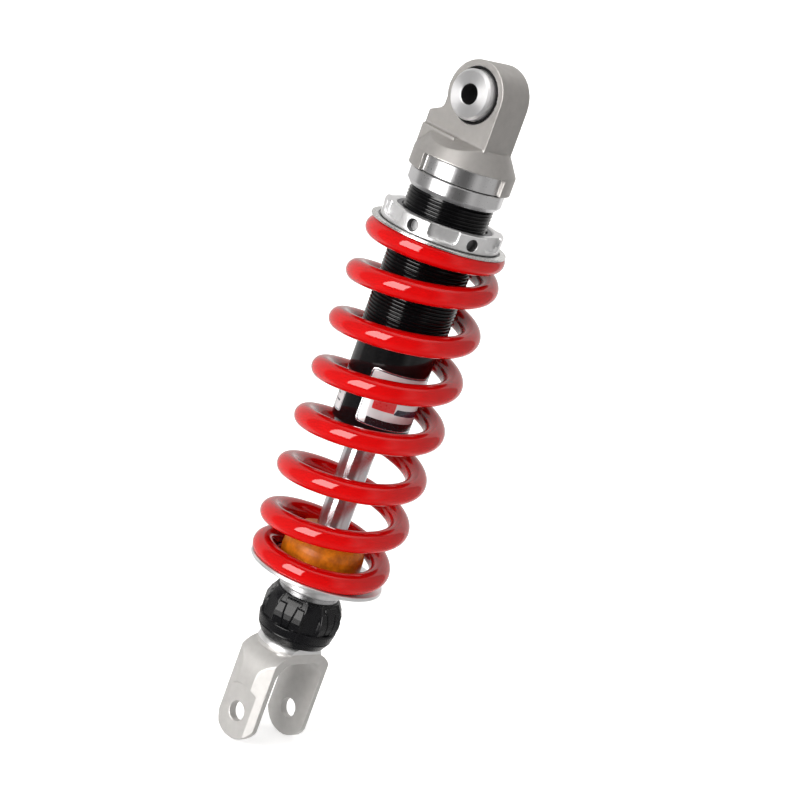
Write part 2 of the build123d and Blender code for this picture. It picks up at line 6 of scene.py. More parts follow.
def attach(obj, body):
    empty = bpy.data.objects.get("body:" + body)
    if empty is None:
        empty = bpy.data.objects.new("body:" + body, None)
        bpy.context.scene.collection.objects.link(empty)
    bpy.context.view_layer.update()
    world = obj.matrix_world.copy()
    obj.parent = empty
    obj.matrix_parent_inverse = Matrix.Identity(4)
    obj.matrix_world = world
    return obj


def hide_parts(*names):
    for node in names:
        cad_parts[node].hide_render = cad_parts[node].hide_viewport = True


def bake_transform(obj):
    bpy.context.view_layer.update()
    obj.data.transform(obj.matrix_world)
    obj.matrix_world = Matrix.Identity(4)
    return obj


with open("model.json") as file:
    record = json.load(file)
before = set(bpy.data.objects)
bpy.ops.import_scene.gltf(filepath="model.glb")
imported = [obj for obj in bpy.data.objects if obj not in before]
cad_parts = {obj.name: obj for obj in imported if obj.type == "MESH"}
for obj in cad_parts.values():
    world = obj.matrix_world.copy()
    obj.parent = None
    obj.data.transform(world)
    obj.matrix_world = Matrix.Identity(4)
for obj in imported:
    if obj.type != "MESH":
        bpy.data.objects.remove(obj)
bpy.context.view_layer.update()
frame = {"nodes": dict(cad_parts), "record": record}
nodes = frame["nodes"]
scene = bpy.context.scene
MM = 0.001

# ------------------------------------------------------------------ camera
AZ, EL, ROLL = math.radians(-51.086), math.radians(14.144), math.radians(20.139)
back = Vector((math.sin(AZ) * math.cos(EL), -math.cos(AZ) * math.cos(EL), math.sin(EL)))
right = Vector((math.cos(AZ), math.sin(AZ), 0.0))
up = back.cross(right)
R = right * math.cos(ROLL) + up * math.sin(ROLL)
U = -right * math.sin(ROLL) + up * math.cos(ROLL)
cam_data = bpy.data.cameras.new("camera")
cam = bpy.data.objects.new("camera", cam_data)
scene.collection.objects.link(cam)
pos = back * 1.319890 + R * 0.013698 + U * 0.007940 + Vector((0, 0, 0.165))
M = Matrix((R, U, back)).transposed().to_4x4()
M.translation = pos
cam.matrix_world = M
cam_data.sensor_width = 36.0
cam_data.lens = 36.0 * 2656.565 / 800.0
cam_data.clip_start, cam_data.clip_end = 0.05, 60.0
scene.camera = cam
scene.view_settings.view_transform = "Standard"


# ------------------------------------------------------------------ materials
def make(name, col, metallic, rough, rvar=0.06, cvar=0.06, nscale=300.0, bump=0.0, bscale=1500.0, coat=0.0, coat_rough=0.05,
         spec=0.5, aniso=0.0, tangent=None, wave=None, wave_axis="Z", wave_rings=False, wave_amp=0.0, edge=0.0, col2=None,
         mottle=0.0, mscale=120.0, sss=0.0, painted_recess_shade=0.0):
    m = bpy.data.materials.new(name)
    m.use_nodes = True
    nt = m.node_tree
    n, l = nt.nodes, nt.links
    bsdf = n["Principled BSDF"]
    bsdf.inputs["Metallic"].default_value = metallic
    bsdf.inputs["Specular IOR Level"].default_value = spec
    if coat:
        bsdf.inputs["Coat Weight"].default_value = coat
        bsdf.inputs["Coat Roughness"].default_value = coat_rough
    if sss:
        bsdf.inputs["Subsurface Weight"].default_value = sss
        bsdf.inputs["Subsurface Radius"].default_value = (0.004, 0.0015, 0.0005)
        bsdf.inputs["Subsurface Scale"].default_value = 1.0
    if aniso:
        bsdf.inputs["Anisotropic"].default_value = aniso
        bsdf.inputs["Anisotropic Rotation"].default_value = 0.25   # highlights spread across the tool marks
    tc = n.new("ShaderNodeTexCoord")

    def noise(scale, detail=4.0, rough_=0.55):
        t = n.new("ShaderNodeTexNoise")
        t.inputs["Scale"].default_value = scale
        t.inputs["Detail"].default_value = detail
        t.inputs["Roughness"].default_value = rough_
        l.new(tc.outputs["Object"], t.inputs["Vector"])
        return t

    def spread(src, low, high, a=0.3, b=0.7):
        r = n.new("ShaderNodeMapRange")
        r.inputs["From Min"].default_value = a
        r.inputs["From Max"].default_value = b
        r.inputs["To Min"].default_value = low
        r.inputs["To Max"].default_value = high
        l.new(src, r.inputs["Value"])
        return r.outputs["Result"]

    def mix(fac, a, b):
        x = n.new("ShaderNodeMix")
        x.data_type = "RGBA"
        l.new(fac, x.inputs[0])
        for v, s in ((a, x.inputs[6]), (b, x.inputs[7])):
            if isinstance(v, (tuple, list)):
                s.default_value = (*v[:3], 1.0)
            else:
                l.new(v, s)
        return x.outputs[2]

    big = noise(nscale)
    lo = tuple(c * (1 - cvar) for c in col)
    hi = tuple(min(1.0, c * (1 + cvar)) for c in (col2 or col))
    colour = mix(spread(big.outputs["Fac"], 0.0, 1.0), lo, hi)
    fine = noise(nscale * 4, 3.0)
    rough_out = spread(fine.outputs["Fac"], max(0.0, rough - rvar), min(1.0, rough + rvar))
    if mottle:
        cloud = noise(mscale, 5.0, 0.65)
        colour = mix(spread(cloud.outputs["Fac"], 0.0, mottle, 0.38, 0.66), colour, tuple(c * 0.55 for c in col))
    if edge or painted_recess_shade:
        geo = n.new("ShaderNodeNewGeometry")
        if edge:
            e = spread(geo.outputs["Pointiness"], 0.0, edge, 0.515, 0.60)
            colour = mix(e, colour, tuple(min(1.0, c * 1.3 + 0.04) for c in col))
        # painted shade: the colour is darkened where Pointiness is low, in hollows and creases
        if painted_recess_shade:
            g = spread(geo.outputs["Pointiness"], painted_recess_shade, 0.0, 0.40, 0.487)
            colour = mix(g, colour, tuple(c * 0.35 for c in col))
    l.new(colour, bsdf.inputs["Base Color"])
    l.new(rough_out, bsdf.inputs["Roughness"])
    normal = None
    if wave:
        w = n.new("ShaderNodeTexWave")
        w.wave_type = "RINGS" if wave_rings else "BANDS"
        if wave_rings:
            w.rings_direction = wave_axis
        else:
            w.bands_direction = wave_axis
        w.inputs["Scale"].default_value = 2 * math.pi / (20.0 * wave)
        w.inputs["Distortion"].default_value = 1.2
        w.inputs["Detail"].default_value = 2.0
        w.inputs["Detail Scale"].default_value = 2.0
        mp = n.new("ShaderNodeMapping")
        l.new(tc.outputs["Object"], mp.inputs["Vector"])
        if wave_rings and wave_axis == "X":
            mp.inputs["Location"].default_value = (0, 0, -0.3335)
        l.new(mp.outputs["Vector"], w.inputs["Vector"])
        b = n.new("ShaderNodeBump")
        b.inputs["Distance"].default_value = wave_amp
        b.inputs["Strength"].default_value = 1.0
        l.new(w.outputs["Fac"], b.inputs["Height"])
        normal = b
    if bump:
        t = noise(bscale, 3.0)
        b = n.new("ShaderNodeBump")
        b.inputs["Distance"].default_value = bump
        b.inputs["Strength"].default_value = 1.0
        l.new(t.outputs["Fac"], b.inputs["Height"])
        if normal is not None:
            l.new(normal.outputs["Normal"], b.inputs["Normal"])
        normal = b
    if normal is not None:
        l.new(normal.outputs["Normal"], bsdf.inputs["Normal"])
    if tangent:
        tg = n.new("ShaderNodeTangent")
        tg.direction_type = "RADIAL"
        tg.axis = tangent
        l.new(tg.outputs["Tangent"], bsdf.inputs["Tangent"])
    return m


MAT = {
    "cast_aluminium": make("cast_aluminium", (0.46, 0.445, 0.43), 0.82, 0.46, rvar=0.07, cvar=0.05, nscale=260, bump=0.000025, bscale=2600,
                           edge=0.55, painted_recess_shade=0.5),
    "turned_aluminium": make("turned_aluminium", (0.80, 0.80, 0.81), 1.0, 0.30, rvar=0.03, cvar=0.02, nscale=300, wave=0.0005, wave_amp=0.0000008,
                             aniso=0.6, tangent="Z"),
    "faced_aluminium": make("faced_aluminium", (0.80, 0.80, 0.81), 0.92, 0.40, rvar=0.04, cvar=0.03, nscale=220, wave=0.0007, wave_axis="X",
                            wave_rings=True, wave_amp=0.000002, aniso=0.6, tangent="X"),
    "polished_aluminium": make("polished_aluminium", (0.88, 0.88, 0.885), 0.88, 0.36, rvar=0.04, cvar=0.03, nscale=420, bump=0.000003, bscale=1500,
                               edge=0.5, painted_recess_shade=0.4),
    "black_anodised": make("black_anodised", (0.0045, 0.0045, 0.005), 0.0, 0.10, rvar=0.03, cvar=0.3, nscale=300, bump=0.0000015, bscale=900, spec=0.42),
    "thread_black": make("thread_black", (0.003, 0.003, 0.0035), 0.0, 0.15, rvar=0.04, cvar=0.3, nscale=900, spec=0.48),
    "hard_chrome": make("hard_chrome", (0.80, 0.79, 0.82), 1.0, 0.20, rvar=0.03, cvar=0.02, nscale=350, wave=0.0004, wave_amp=0.0000004, aniso=0.95, tangent="Z"),
    "steel": make("steel", (0.56, 0.56, 0.57), 1.0, 0.30, rvar=0.07, cvar=0.06, nscale=400, wave=0.0005, wave_amp=0.000003),
    "blued_steel": make("blued_steel", (0.13, 0.13, 0.14), 1.0, 0.34, rvar=0.08, cvar=0.12, nscale=600, bump=0.00001, bscale=2500),
    "zinc_steel": make("zinc_steel", (0.76, 0.76, 0.75), 1.0, 0.26, rvar=0.06, cvar=0.05, nscale=350, bump=0.000004, bscale=1500),
    "spring_red": make("spring_red", (0.50, 0.0012, 0.0015), 0.0, 0.50, rvar=0.05, cvar=0.06, nscale=90, bump=0.0000008, bscale=300, coat=1.0,
                       coat_rough=0.012, spec=0.0),
    "bronze": make("bronze", (0.55, 0.38, 0.16), 1.0, 0.38, rvar=0.08, cvar=0.1, nscale=700, bump=0.00001, bscale=3000),
    "black_rubber": make("black_rubber", (0.004, 0.004, 0.004), 0.0, 0.55, rvar=0.08, cvar=0.2, nscale=500, bump=0.000006, bscale=2500, spec=0.2),
    "amber_polyurethane": make("amber_polyurethane", (0.60, 0.15, 0.002), 0.0, 0.45, rvar=0.08, cvar=0.12, nscale=160, bump=0.00004, bscale=700,
                               mottle=0.75, mscale=170, sss=0.12, coat=0.12, coat_rough=0.25, spec=0.3, col2=(0.78, 0.24, 0.004)),
    "black_plastic": make("black_plastic", (0.0035, 0.0035, 0.0045), 0.0, 0.27, rvar=0.05, cvar=0.2, nscale=500, bump=0.000003, bscale=2200, spec=0.30,
                          edge=0.06),
    # near-black colour for the eye sleeve and the collar bores: painted shade inside the bore
    "bore_painted_shade": make("bore_painted_shade", (0.028, 0.027, 0.028), 0.3, 0.5, rvar=0.08, cvar=0.2, nscale=500, wave=0.0006, wave_axis="X", wave_amp=0.000004, spec=0.3),
    "forged_aluminium": make("forged_aluminium", (0.60, 0.59, 0.575), 0.62, 0.44, rvar=0.07, cvar=0.05, nscale=260, bump=0.00002, bscale=2600,
                             edge=0.5, painted_recess_shade=0.45),
    # dark colour for hole walls and the washer groove: painted shade
    "steel_painted_shade": make("steel_painted_shade", (0.26, 0.26, 0.265), 0.9, 0.42, rvar=0.06, cvar=0.1, nscale=500, bump=0.000006, bscale=2500),
    "white_ptfe": make("white_ptfe", (0.82, 0.82, 0.80), 0.0, 0.45, rvar=0.05, cvar=0.03, nscale=500, bump=0.00001, bscale=2500),
    "label_silver": make("label_silver", (0.80, 0.79, 0.81), 0.35, 0.22, rvar=0.04, cvar=0.05, nscale=300, coat=0.6, coat_rough=0.08),
    "label_frame": make("label_frame", (0.90, 0.90, 0.92), 0.9, 0.18, rvar=0.04, cvar=0.03, nscale=300),
    "label_red": make("label_red", (0.62, 0.008, 0.010), 0.0, 0.30, rvar=0.04, cvar=0.06, nscale=300, coat=0.6, coat_rough=0.08),
    "label_black": make("label_black", (0.010, 0.010, 0.012), 0.0, 0.25, rvar=0.04, cvar=0.2, nscale=300, coat=0.6, coat_rough=0.08),
    "label_blue": make("label_blue", (0.018, 0.020, 0.040), 0.0, 0.25, rvar=0.04, cvar=0.2, nscale=300, coat=0.6, coat_rough=0.08),
    "floor_pale": make("floor_pale", (0.93, 0.93, 0.93), 0.0, 0.7, rvar=0.05, cvar=0.004, nscale=3, spec=0.1),
}
SLOT = {s["node"]: s["material_slot"] for s in frame["record"]["subparts"] if "material_slot" in s}
for name, o in nodes.items():
    o.data.materials.clear()
    # the eye sleeve gets the near-black bore colour: painted shade
    o.data.materials.append(MAT["bore_painted_shade" if name == "eye_sleeve" else SLOT[name]])


# ------------------------------------------------------------------ mesh helpers
def obj_from(name, verts, faces, mats, body=None, gone=(), smooth=35.0, weighted=True, merge=1e-7):
    me = bpy.data.meshes.new(name)
    me.from_pydata([tuple(v) for v in verts], [], faces)
    bm = bmesh.new()
    bm.from_mesh(me)
    if merge:
        bmesh.ops.remove_doubles(bm, verts=bm.verts, dist=merge)
        bmesh.ops.dissolve_degenerate(bm, edges=bm.edges, dist=merge)
    bmesh.ops.recalc_face_normals(bm, faces=bm.faces)
    bm.to_mesh(me)
    bm.free()
    me.shade_smooth()
    me.set_sharp_from_angle(angle=math.radians(smooth))
    o = bpy.data.objects.new(name, me)
    scene.collection.objects.link(o)
    for m in (mats if isinstance(mats, (list, tuple)) else [mats]):
        me.materials.append(MAT[m])
    if weighted:
        w = o.modifiers.new("weighted", "WEIGHTED_NORMAL")
        w.keep_sharp = True
    if body:
        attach(o, body)
    if gone:
        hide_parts(*([gone] if isinstance(gone, str) else gone))
    return o


def rounded(pts, rc=0.25, k=3, radii=None):
    out = []
    n = len(pts)
    for i in range(n):
        p0, p, p1 = np.array(pts[i - 1], float), np.array(pts[i], float), np.array(pts[(i + 1) % n], float)
        r = (radii or {}).get(i, rc)
        a, b = p0 - p, p1 - p
        la, lb = np.linalg.norm(a), np.linalg.norm(b)
        cosang = float(np.clip(a @ b / (la * lb), -1, 1))
        ang = math.acos(cosang)
        if r <= 0 or ang > math.radians(172) or (p[0] < 1e-9):
            out.append(tuple(p))
            continue
        d = min(r / math.tan(ang / 2), 0.45 * la, 0.45 * lb)
        s, e = p + a / la * d, p + b / lb * d
        for j in range(k + 1):
            t = j / k
            q = (1 - t) ** 2 * s + 2 * t * (1 - t) * p + t * t * e
            out.append(tuple(q))
    return out


def lathe_geom(pts, segs=144, axis="Z", off=(0, 0, 0), a0=0.0):
    verts, faces = [], []
    n = len(pts)
    for i in range(segs):
        a = a0 + 2 * math.pi * i / segs
        c, s = math.cos(a), math.sin(a)
        for r, z in pts:
            if axis == "Z":
                verts.append(((r * c + off[0]) * MM, (r * s + off[1]) * MM, (z + off[2]) * MM))
            else:
                verts.append(((z + off[0]) * MM, (r * c + off[1]) * MM, (r * s + off[2]) * MM))
    for i in range(segs):
        i2 = (i + 1) % segs
        for j in range(n):
            j2 = (j + 1) % n
            if pts[j][0] < 1e-9 and pts[j2][0] < 1e-9:
                continue
            faces.append((i * n + j, i * n + j2, i2 * n + j2, i2 * n + j))
    return verts, faces


def lathe(name, pts, mat, body, gone=(), rc=0.25, k=3, segs=144, axis="Z", off=(0, 0, 0), radii=None):
    v, f = lathe_geom(rounded(pts, rc, k, radii), segs, axis, off)
    return obj_from(name, v, f, mat, body, gone, smooth=38)


def arc_ring(name, pts, deg0, deg1, mat, body, gone=(), rc=0.2, segs=140):
    p = rounded(pts, rc, 3)
    n = len(p)
    verts, faces = [], []
    for i in range(segs + 1):
        a = math.radians(deg0 + (deg1 - deg0) * i / segs)
        for r, z in p:
            verts.append((r * math.cos(a) * MM, r * math.sin(a) * MM, z * MM))
    for i in range(segs):
        for j in range(n):
            j2 = (j + 1) % n
            faces.append((i * n + j, i * n + j2, (i + 1) * n + j2, (i + 1) * n + j))
    faces.append(tuple(range(n)))
    faces.append(tuple(segs * n + j for j in reversed(range(n))))
    return obj_from(name, verts, faces, mat, body, gone, smooth=38)


def remeshed(name, node, voxel, iters, mats, body, paint=None, ratio=None):
    """A finely meshed copy of a CAD node with its edges softened as on a casting or a tumbled machined part."""
    src = nodes[node]
    me = src.data.copy()
    bm = bmesh.new()
    bm.from_mesh(me)
    bmesh.ops.remove_doubles(bm, verts=bm.verts, dist=1e-6)
    bm.to_mesh(me)
    bm.free()
    tmp = bpy.data.objects.new(name + "_tmp", me)
    scene.collection.objects.link(tmp)
    md = tmp.modifiers.new("remesh", "REMESH")
    md.mode = "VOXEL"
    md.voxel_size = voxel * MM
    md.adaptivity = 0.0
    sm = tmp.modifiers.new("smooth", "SMOOTH")
    sm.factor = 0.5
    sm.iterations = iters
    if ratio:
        dc = tmp.modifiers.new("decimate", "DECIMATE")
        dc.ratio = ratio
    dg = bpy.context.evaluated_depsgraph_get()
    out = bpy.data.meshes.new_from_object(tmp.evaluated_get(dg))
    bpy.data.objects.remove(tmp)
    out.name = name
    out.materials.clear()
    for m in (mats if isinstance(mats, (list, tuple)) else [mats]):
        out.materials.append(MAT[m])
    out.shade_smooth()
    if paint:
        n = len(out.polygons)
        c = np.zeros(n * 3)
        out.polygons.foreach_get("center", c)
        c = c.reshape(-1, 3) / MM
        nn = np.zeros(n * 3)
        out.polygons.foreach_get("normal", nn)
        idx = np.zeros(n, np.int32)
        paint(c, nn.reshape(-1, 3), idx)
        out.polygons.foreach_set("material_index", idx)
    o = bpy.data.objects.new(name, out)
    scene.collection.objects.link(o)
    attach(o, body)
    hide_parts(node)
    return o


BODY, ROD, WASH, NUT = "body_assembly", "rod_assembly", "spring_washer_assembly", "preload_nut_assembly"

# ------------------------------------------------------------------ head casting, clevis, preload collar
def paint_head(c, n, idx):
    r = np.hypot(c[:, 0], c[:, 1])
    a = np.degrees(np.arctan2(c[:, 1], c[:, 0]))
    a = np.where(a < 0, a + 360, a)
    pocket = (np.abs(r - 23.5) < 0.22) & (c[:, 2] < 301.35) & (a > 170.4) & (a < 274.6)
    bore = (np.abs(np.hypot(c[:, 1], c[:, 2] - 333.5) - 14.0) < 0.25) & (np.abs(c[:, 0]) > 8.2)
    idx[pocket | bore] = 1


remeshed("head_casting", "top_cap", 0.34, 4, ["cast_aluminium", "turned_aluminium"], BODY, paint_head)


def paint_clevis(c, n, idx):
    idx[(c[:, 2] > 38.25) & (np.hypot(c[:, 0], c[:, 1]) < 17.2)] = 1


remeshed("clevis_forging", "clevis", 0.30, 2, ["forged_aluminium", "polished_aluminium"], ROD, paint_clevis)


# the peg holes and the threaded bore of the collar get the dark steel colour: painted shade in the holes
def paint_collar(c, n, idx):
    r = np.hypot(c[:, 0], c[:, 1])
    for k in range(6):
        a = math.radians(-106.5 + 60 * k)
        side = c[:, 0] * -math.sin(a) + c[:, 1] * math.cos(a)
        front = c[:, 0] * math.cos(a) + c[:, 1] * math.sin(a)
        idx[(np.hypot(side, c[:, 2] - 267.4) < 3.25) & (r < 30.15) & (front > 25.2)] = 1
    idx[(r < 21.8)] = 1


remeshed("preload_collar", "preload_nut", 0.20, 2, ["polished_aluminium", "steel_painted_shade"], NUT, paint_collar)

# ------------------------------------------------------------------ damper tube with a real right-hand thread
SEG = 160
PITCH, Z_TOP, Z_BOT, R_CREST, R_ROOT = 1.75, 282.4, 207.0, 21.5, 20.4
stations = [(0.0, R_ROOT), (0.12, R_ROOT + 0.05), (0.40, R_CREST - 0.10), (0.46, R_CREST), (0.62, R_CREST), (0.68, R_CREST - 0.10), (0.94, R_ROOT + 0.05)]
turns = int(math.ceil((Z_TOP - Z_BOT) / PITCH)) + 2
rows = [(m + s, r) for m in range(-1, turns) for s, r in stations]
verts, faces = [], []
nr = len(rows)
for i in range(SEG):
    th = 2 * math.pi * i / SEG
    for h, r in rows:
        z = Z_BOT + PITCH * (h + i / SEG)
        end_r = 20.0
        lowf = min(max((z - Z_BOT) / 1.4, 0.0), 1.0)
        highf = min(max((Z_TOP - z) / 0.8, 0.0), 1.0)
        rr = end_r + (r - end_r) * min(lowf, highf)
        z = min(max(z, Z_BOT), Z_TOP)
        verts.append((rr * math.cos(th) * MM, rr * math.sin(th) * MM, z * MM))
per = len(stations)
# the seam: the row one turn lower at the last angle meets the row above at angle zero
faces = []
for i in range(SEG):
    if i < SEG - 1:
        for j in range(nr - 1):
            faces.append((i * nr + j, i * nr + j + 1, (i + 1) * nr + j + 1, (i + 1) * nr + j))
    else:
        for j in range(nr - 1 - per):
            faces.append((i * nr + j, i * nr + j + 1, j + 1 + per, j + per))
inner = [(20.0, Z_TOP), (21.5, Z_TOP), (21.5, 294.7), (19.9, 294.7), (19.9, 297.0), (18.0, 297.0), (18.0, 162.7), (18.7, 162.7), (18.7, 161.3),
         (18.0, 161.3), (18.0, 158.6), (18.35, 158.6), (18.6, 158.75), (19.75, 160.9), (19.9, 161.4), (19.9, Z_BOT - 0.9), (19.95, Z_BOT - 0.3),
         (20.0, Z_BOT)]
base = len(verts)
v2, f2 = [], []
for i in range(SEG):
    th = 2 * math.pi * i / SEG
    for r, z in inner:
        v2.append((r * math.cos(th) * MM, r * math.sin(th) * MM, z * MM))
ni = len(inner)
for i in range(SEG):
    i2 = (i + 1) % SEG
    for j in range(ni - 1):
        f2.append((base + i * ni + j, base + i * ni + j + 1, base + i2 * ni + j + 1, base + i2 * ni + j))
tube = obj_from("damper_tube", verts + v2, faces + f2, ["black_anodised", "thread_black"], BODY, "damper_body", smooth=38,
                weighted=False, merge=2e-7)
bm = bmesh.new()
bm.from_mesh(tube.data)
for f in bm.faces:
    c = f.calc_center_median()
    if 0.2068 < c.z < 0.2828 and math.hypot(c.x, c.y) > 0.0199:
        f.material_index = 1
bm.to_mesh(tube.data)
bm.free()

# ------------------------------------------------------------------ spring: two pieces of one wire
END_R, MAIN_R, WIRE = 29.95, 31.8, 5.47
table = [(-0.25, 84.6), (0.0, 84.8), (0.25, 85.3), (0.375, 86.7), (0.5, 89.6), (0.75, 96.3), (1.0, 101.6), (1.25, 107.6), (1.5, 114.0),
         (2.0, 127.5), (2.5, 139.9), (3.0, 154.1), (3.5, 166.8), (4.0, 180.3), (4.5, 193.4), (5.0, 206.6), (5.5, 218.8), (6.0, 232.3),
         (6.5, 244.8), (6.75, 251.0), (7.0, 256.1), (7.25, 258.0), (7.5, 259.2)]


def coil_radius(t):
    u = min(min(max((t - 0.45) / 0.55, 0), 1), min(max((7.0 - t) / 0.55, 0), 1))
    return END_R + (MAIN_R - END_R) * u * u * (3 - 2 * u)


def wire_height(t):
    i = 0
    while i < len(table) - 2 and t > table[i + 1][0]:
        i += 1
    (t0, z0), (t1, z1) = table[i], table[i + 1]
    h = t1 - t0
    m0 = 0.0 if i == 0 else (z1 - table[i - 1][1]) / (t1 - table[i - 1][0])
    m1 = 0.0 if i == len(table) - 2 else (table[i + 2][1] - z0) / (table[i + 2][0] - t0)
    u = (t - t0) / h
    return (2 * u**3 - 3 * u**2 + 1) * z0 + (u**3 - 2 * u**2 + u) * h * m0 + (-2 * u**3 + 3 * u**2) * z1 + (u**3 - u**2) * h * m1


def wire_point(t):
    a = math.radians(128.9 + 360 * t)
    return np.array((coil_radius(t) * math.cos(a), coil_radius(t) * math.sin(a), wire_height(t)))


def wire_mesh(name, ta, tb, weight, cap_a, cap_b):
    per_turn, ring = 112, 36
    n = max(2, int(round((tb - ta) * per_turn)))
    ts = [(ta + (tb - ta) * i / n, 1.0) for i in range(n + 1)]
    # rounded cut ends: the last rings shrink over half a millimetre
    turn_mm = 2 * math.pi * 30
    if cap_a:
        ts = [(ta + (1 - s) * 0.5 / turn_mm, 1 - 0.09 * (1 - math.sqrt(max(0.0, 1 - (1 - q) ** 2)))) for s, q in ((1.0, 0.0), (0.75, 0.25), (0.4, 0.6))] + ts[1:]
    if cap_b:
        ts = ts[:-1] + [(tb - (1 - s) * 0.5 / turn_mm, 1 - 0.09 * (1 - math.sqrt(max(0.0, 1 - (1 - q) ** 2)))) for s, q in ((0.4, 0.6), (0.75, 0.25), (1.0, 0.0))]
    verts, faces, w = [], [], []
    for t, k in ts:
        p = wire_point(t)
        d = wire_point(t + 1e-3) - wire_point(t - 1e-3)
        d /= np.linalg.norm(d)
        ang = math.radians(128.9 + 360 * t)
        e = np.array((math.cos(ang), math.sin(ang), 0.0))
        e -= d * (e @ d)
        e /= np.linalg.norm(e)
        f = np.cross(d, e)
        for j in range(ring):
            phi = 2 * math.pi * j / ring
            q = p + WIRE * k * (e * math.cos(phi) + f * math.sin(phi))
            q[2] = min(max(q[2], 81.02), 262.13)
            verts.append(tuple(q * MM))
            w.append(weight(t))
    for i in range(len(ts) - 1):
        for j in range(ring):
            j2 = (j + 1) % ring
            faces.append((i * ring + j, i * ring + j2, (i + 1) * ring + j2, (i + 1) * ring + j))
    faces.append(tuple(range(ring)))
    faces.append(tuple((len(ts) - 1) * ring + j for j in reversed(range(ring))))
    o = obj_from(name, verts, faces, "spring_red", None, "coil_spring", smooth=50, weighted=False, merge=0)
    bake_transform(o)
    return o


def low_weight(t):
    pts = [(-1, 1.0), (0.7, 1.0), (0.75, 0.994), (1.0, 0.92), (5.75, 0.0)]
    return float(np.interp(t, [p[0] for p in pts], [p[1] for p in pts]))


wire_mesh("spring_lower_coils", -0.25, 5.75, low_weight, True, False)
wire_mesh("spring_upper_coils", 5.75, 7.5, lambda t: float(min(max((t - 5.75) / 0.75, 0.0), 1.0)), False, True)

# ------------------------------------------------------------------ turned parts
lathe("lock_ring", [(21.5, 282.8), (22.0, 282.8), (24.0, 285.1), (24.0, 291.1), (23.6, 291.5), (21.5, 291.5)], "turned_aluminium", BODY,
      "body_lock_ring", rc=0.2)
lathe("tube_end_cap", [(10.6, 158.0), (16.2, 158.0), (18.0, 159.6), (18.0, 161.2), (10.6, 161.2)], "black_anodised", BODY, "end_cap", rc=0.3)
lathe("rod_wiper_lip", [(8.05, 156.95), (8.6, 156.95), (9.6, 158.4), (10.6, 158.4), (10.6, 161.2), (8.05, 161.2)], "black_rubber", BODY, "rod_wiper", rc=0.15)
lathe("spring_washer_ring", [(21.7, 258.6), (23.6, 258.6), (24.2, 259.2), (24.2, 262.15), (34.55, 262.15), (34.7, 262.3), (34.7, 263.05), (34.45, 263.3), (31.5, 263.3), (31.2, 262.8), (29.4, 262.8), (29.1, 263.3), (21.7, 263.3)],
      ["zinc_steel", "steel_painted_shade"], WASH, "spring_washer", rc=0.12)
# the groove under the collar gets the dark steel colour: painted shade at the seam between washer and collar
for p in bpy.data.objects["spring_washer_ring"].data.polygons:
    if p.center.z > 0.2627 and 0.0291 < math.hypot(p.center.x, p.center.y) < 0.0315:
        p.material_index = 1
arc_ring("collar_snap_ring", [(22.2, 270.0), (24.5, 270.0), (24.5, 271.5), (22.2, 271.5)], -93, 245, "blued_steel", NUT, "nut_snap_ring")
bump_pts = [(8.0, 82.0), (20.2, 82.0), (21.0, 82.9), (21.0, 90.0), (20.85, 92.4), (20.3, 94.9), (19.2, 97.3), (17.6, 99.3), (15.6, 100.9), (13.6, 101.7),
            (12.0, 102.0), (8.6, 102.0), (8.0, 101.4)]
lathe("bump_stop_foam", bump_pts, "amber_polyurethane", ROD, "bump_stop", rc=0.8, k=4)
lathe("bump_stop_washer", [(8.0, 81.0), (21.6, 81.0), (21.6, 82.0), (8.0, 82.0)], "steel", ROD, "bump_washer", rc=0.2)
lathe("lower_seat_cup", [(8.0, 70.0), (16.4, 70.0), (17.0, 70.6), (17.0, 77.0), (18.6, 79.0), (34.4, 79.0), (34.7, 79.3), (34.7, 80.7), (34.4, 81.0), (24.2, 81.0),
                         (24.2, 83.0), (23.8, 83.4), (22.4, 83.4), (22.0, 83.0), (22.0, 81.0), (8.0, 81.0)], "polished_aluminium", ROD, "lower_spring_seat",
      rc=0.22, radii={3: 1.2, 4: 1.4})
rod_pts = [(0, 33.6), (5.4, 33.6), (6.0, 34.2), (6.0, 43.0), (8.0, 43.0), (8.0, 189.0), (5.0, 189.0), (5.0, 206.6), (4.4, 207.2), (1.5, 207.2), (1.5, 203.0),
           (3.0, 201.0), (3.0, 50.0), (0, 50.0)]
for sgn, tag in ((-1, "near"), (1, "far")):
    prof = [(5.1, 4.2), (5.1, 14.4), (5.5, 14.8), (11.3, 14.8), (12.5, 13.6), (12.5, 8.4), (7.4, 8.4), (7.4, 4.2)]
    oc = lathe("eye_collar_" + tag, [(r, sgn * x) for r, x in prof], ["faced_aluminium", "bore_painted_shade"], "eye_sleeve_assembly", "eye_collars",
               rc=0.18, axis="X", off=(0, 0, 333.5), segs=128)
    # the collar's bore faces get the near-black bore colour: painted shade
    for p in oc.data.polygons:
        if math.hypot(p.center.y, p.center.z - 0.3335) < 0.00512:
            p.material_index = 1
    seal = [(12.8, 8.0), (12.8, 9.9), (13.2, 10.25), (13.7, 10.25), (14.0, 10.0), (14.0, 8.0)]
    lathe("eye_seal_" + tag, [(r, sgn * x) for r, x in seal], "black_rubber", BODY, "eye_seals", rc=0.15, axis="X", off=(0, 0, 333.5), segs=128)

# ------------------------------------------------------------------ rebound knob: five lobes, each with a tall middle rib and two side ribs
prof = [(42.0, 17.0), (45.6, 19.2), (50.0, 20.2), (55.6, 21.3), (58.6, 21.2), (62.8, 19.6), (66.6, 17.4)]


def smooth01(x):
    x = min(max(x, 0.0), 1.0)
    return x * x * (3 - 2 * x)


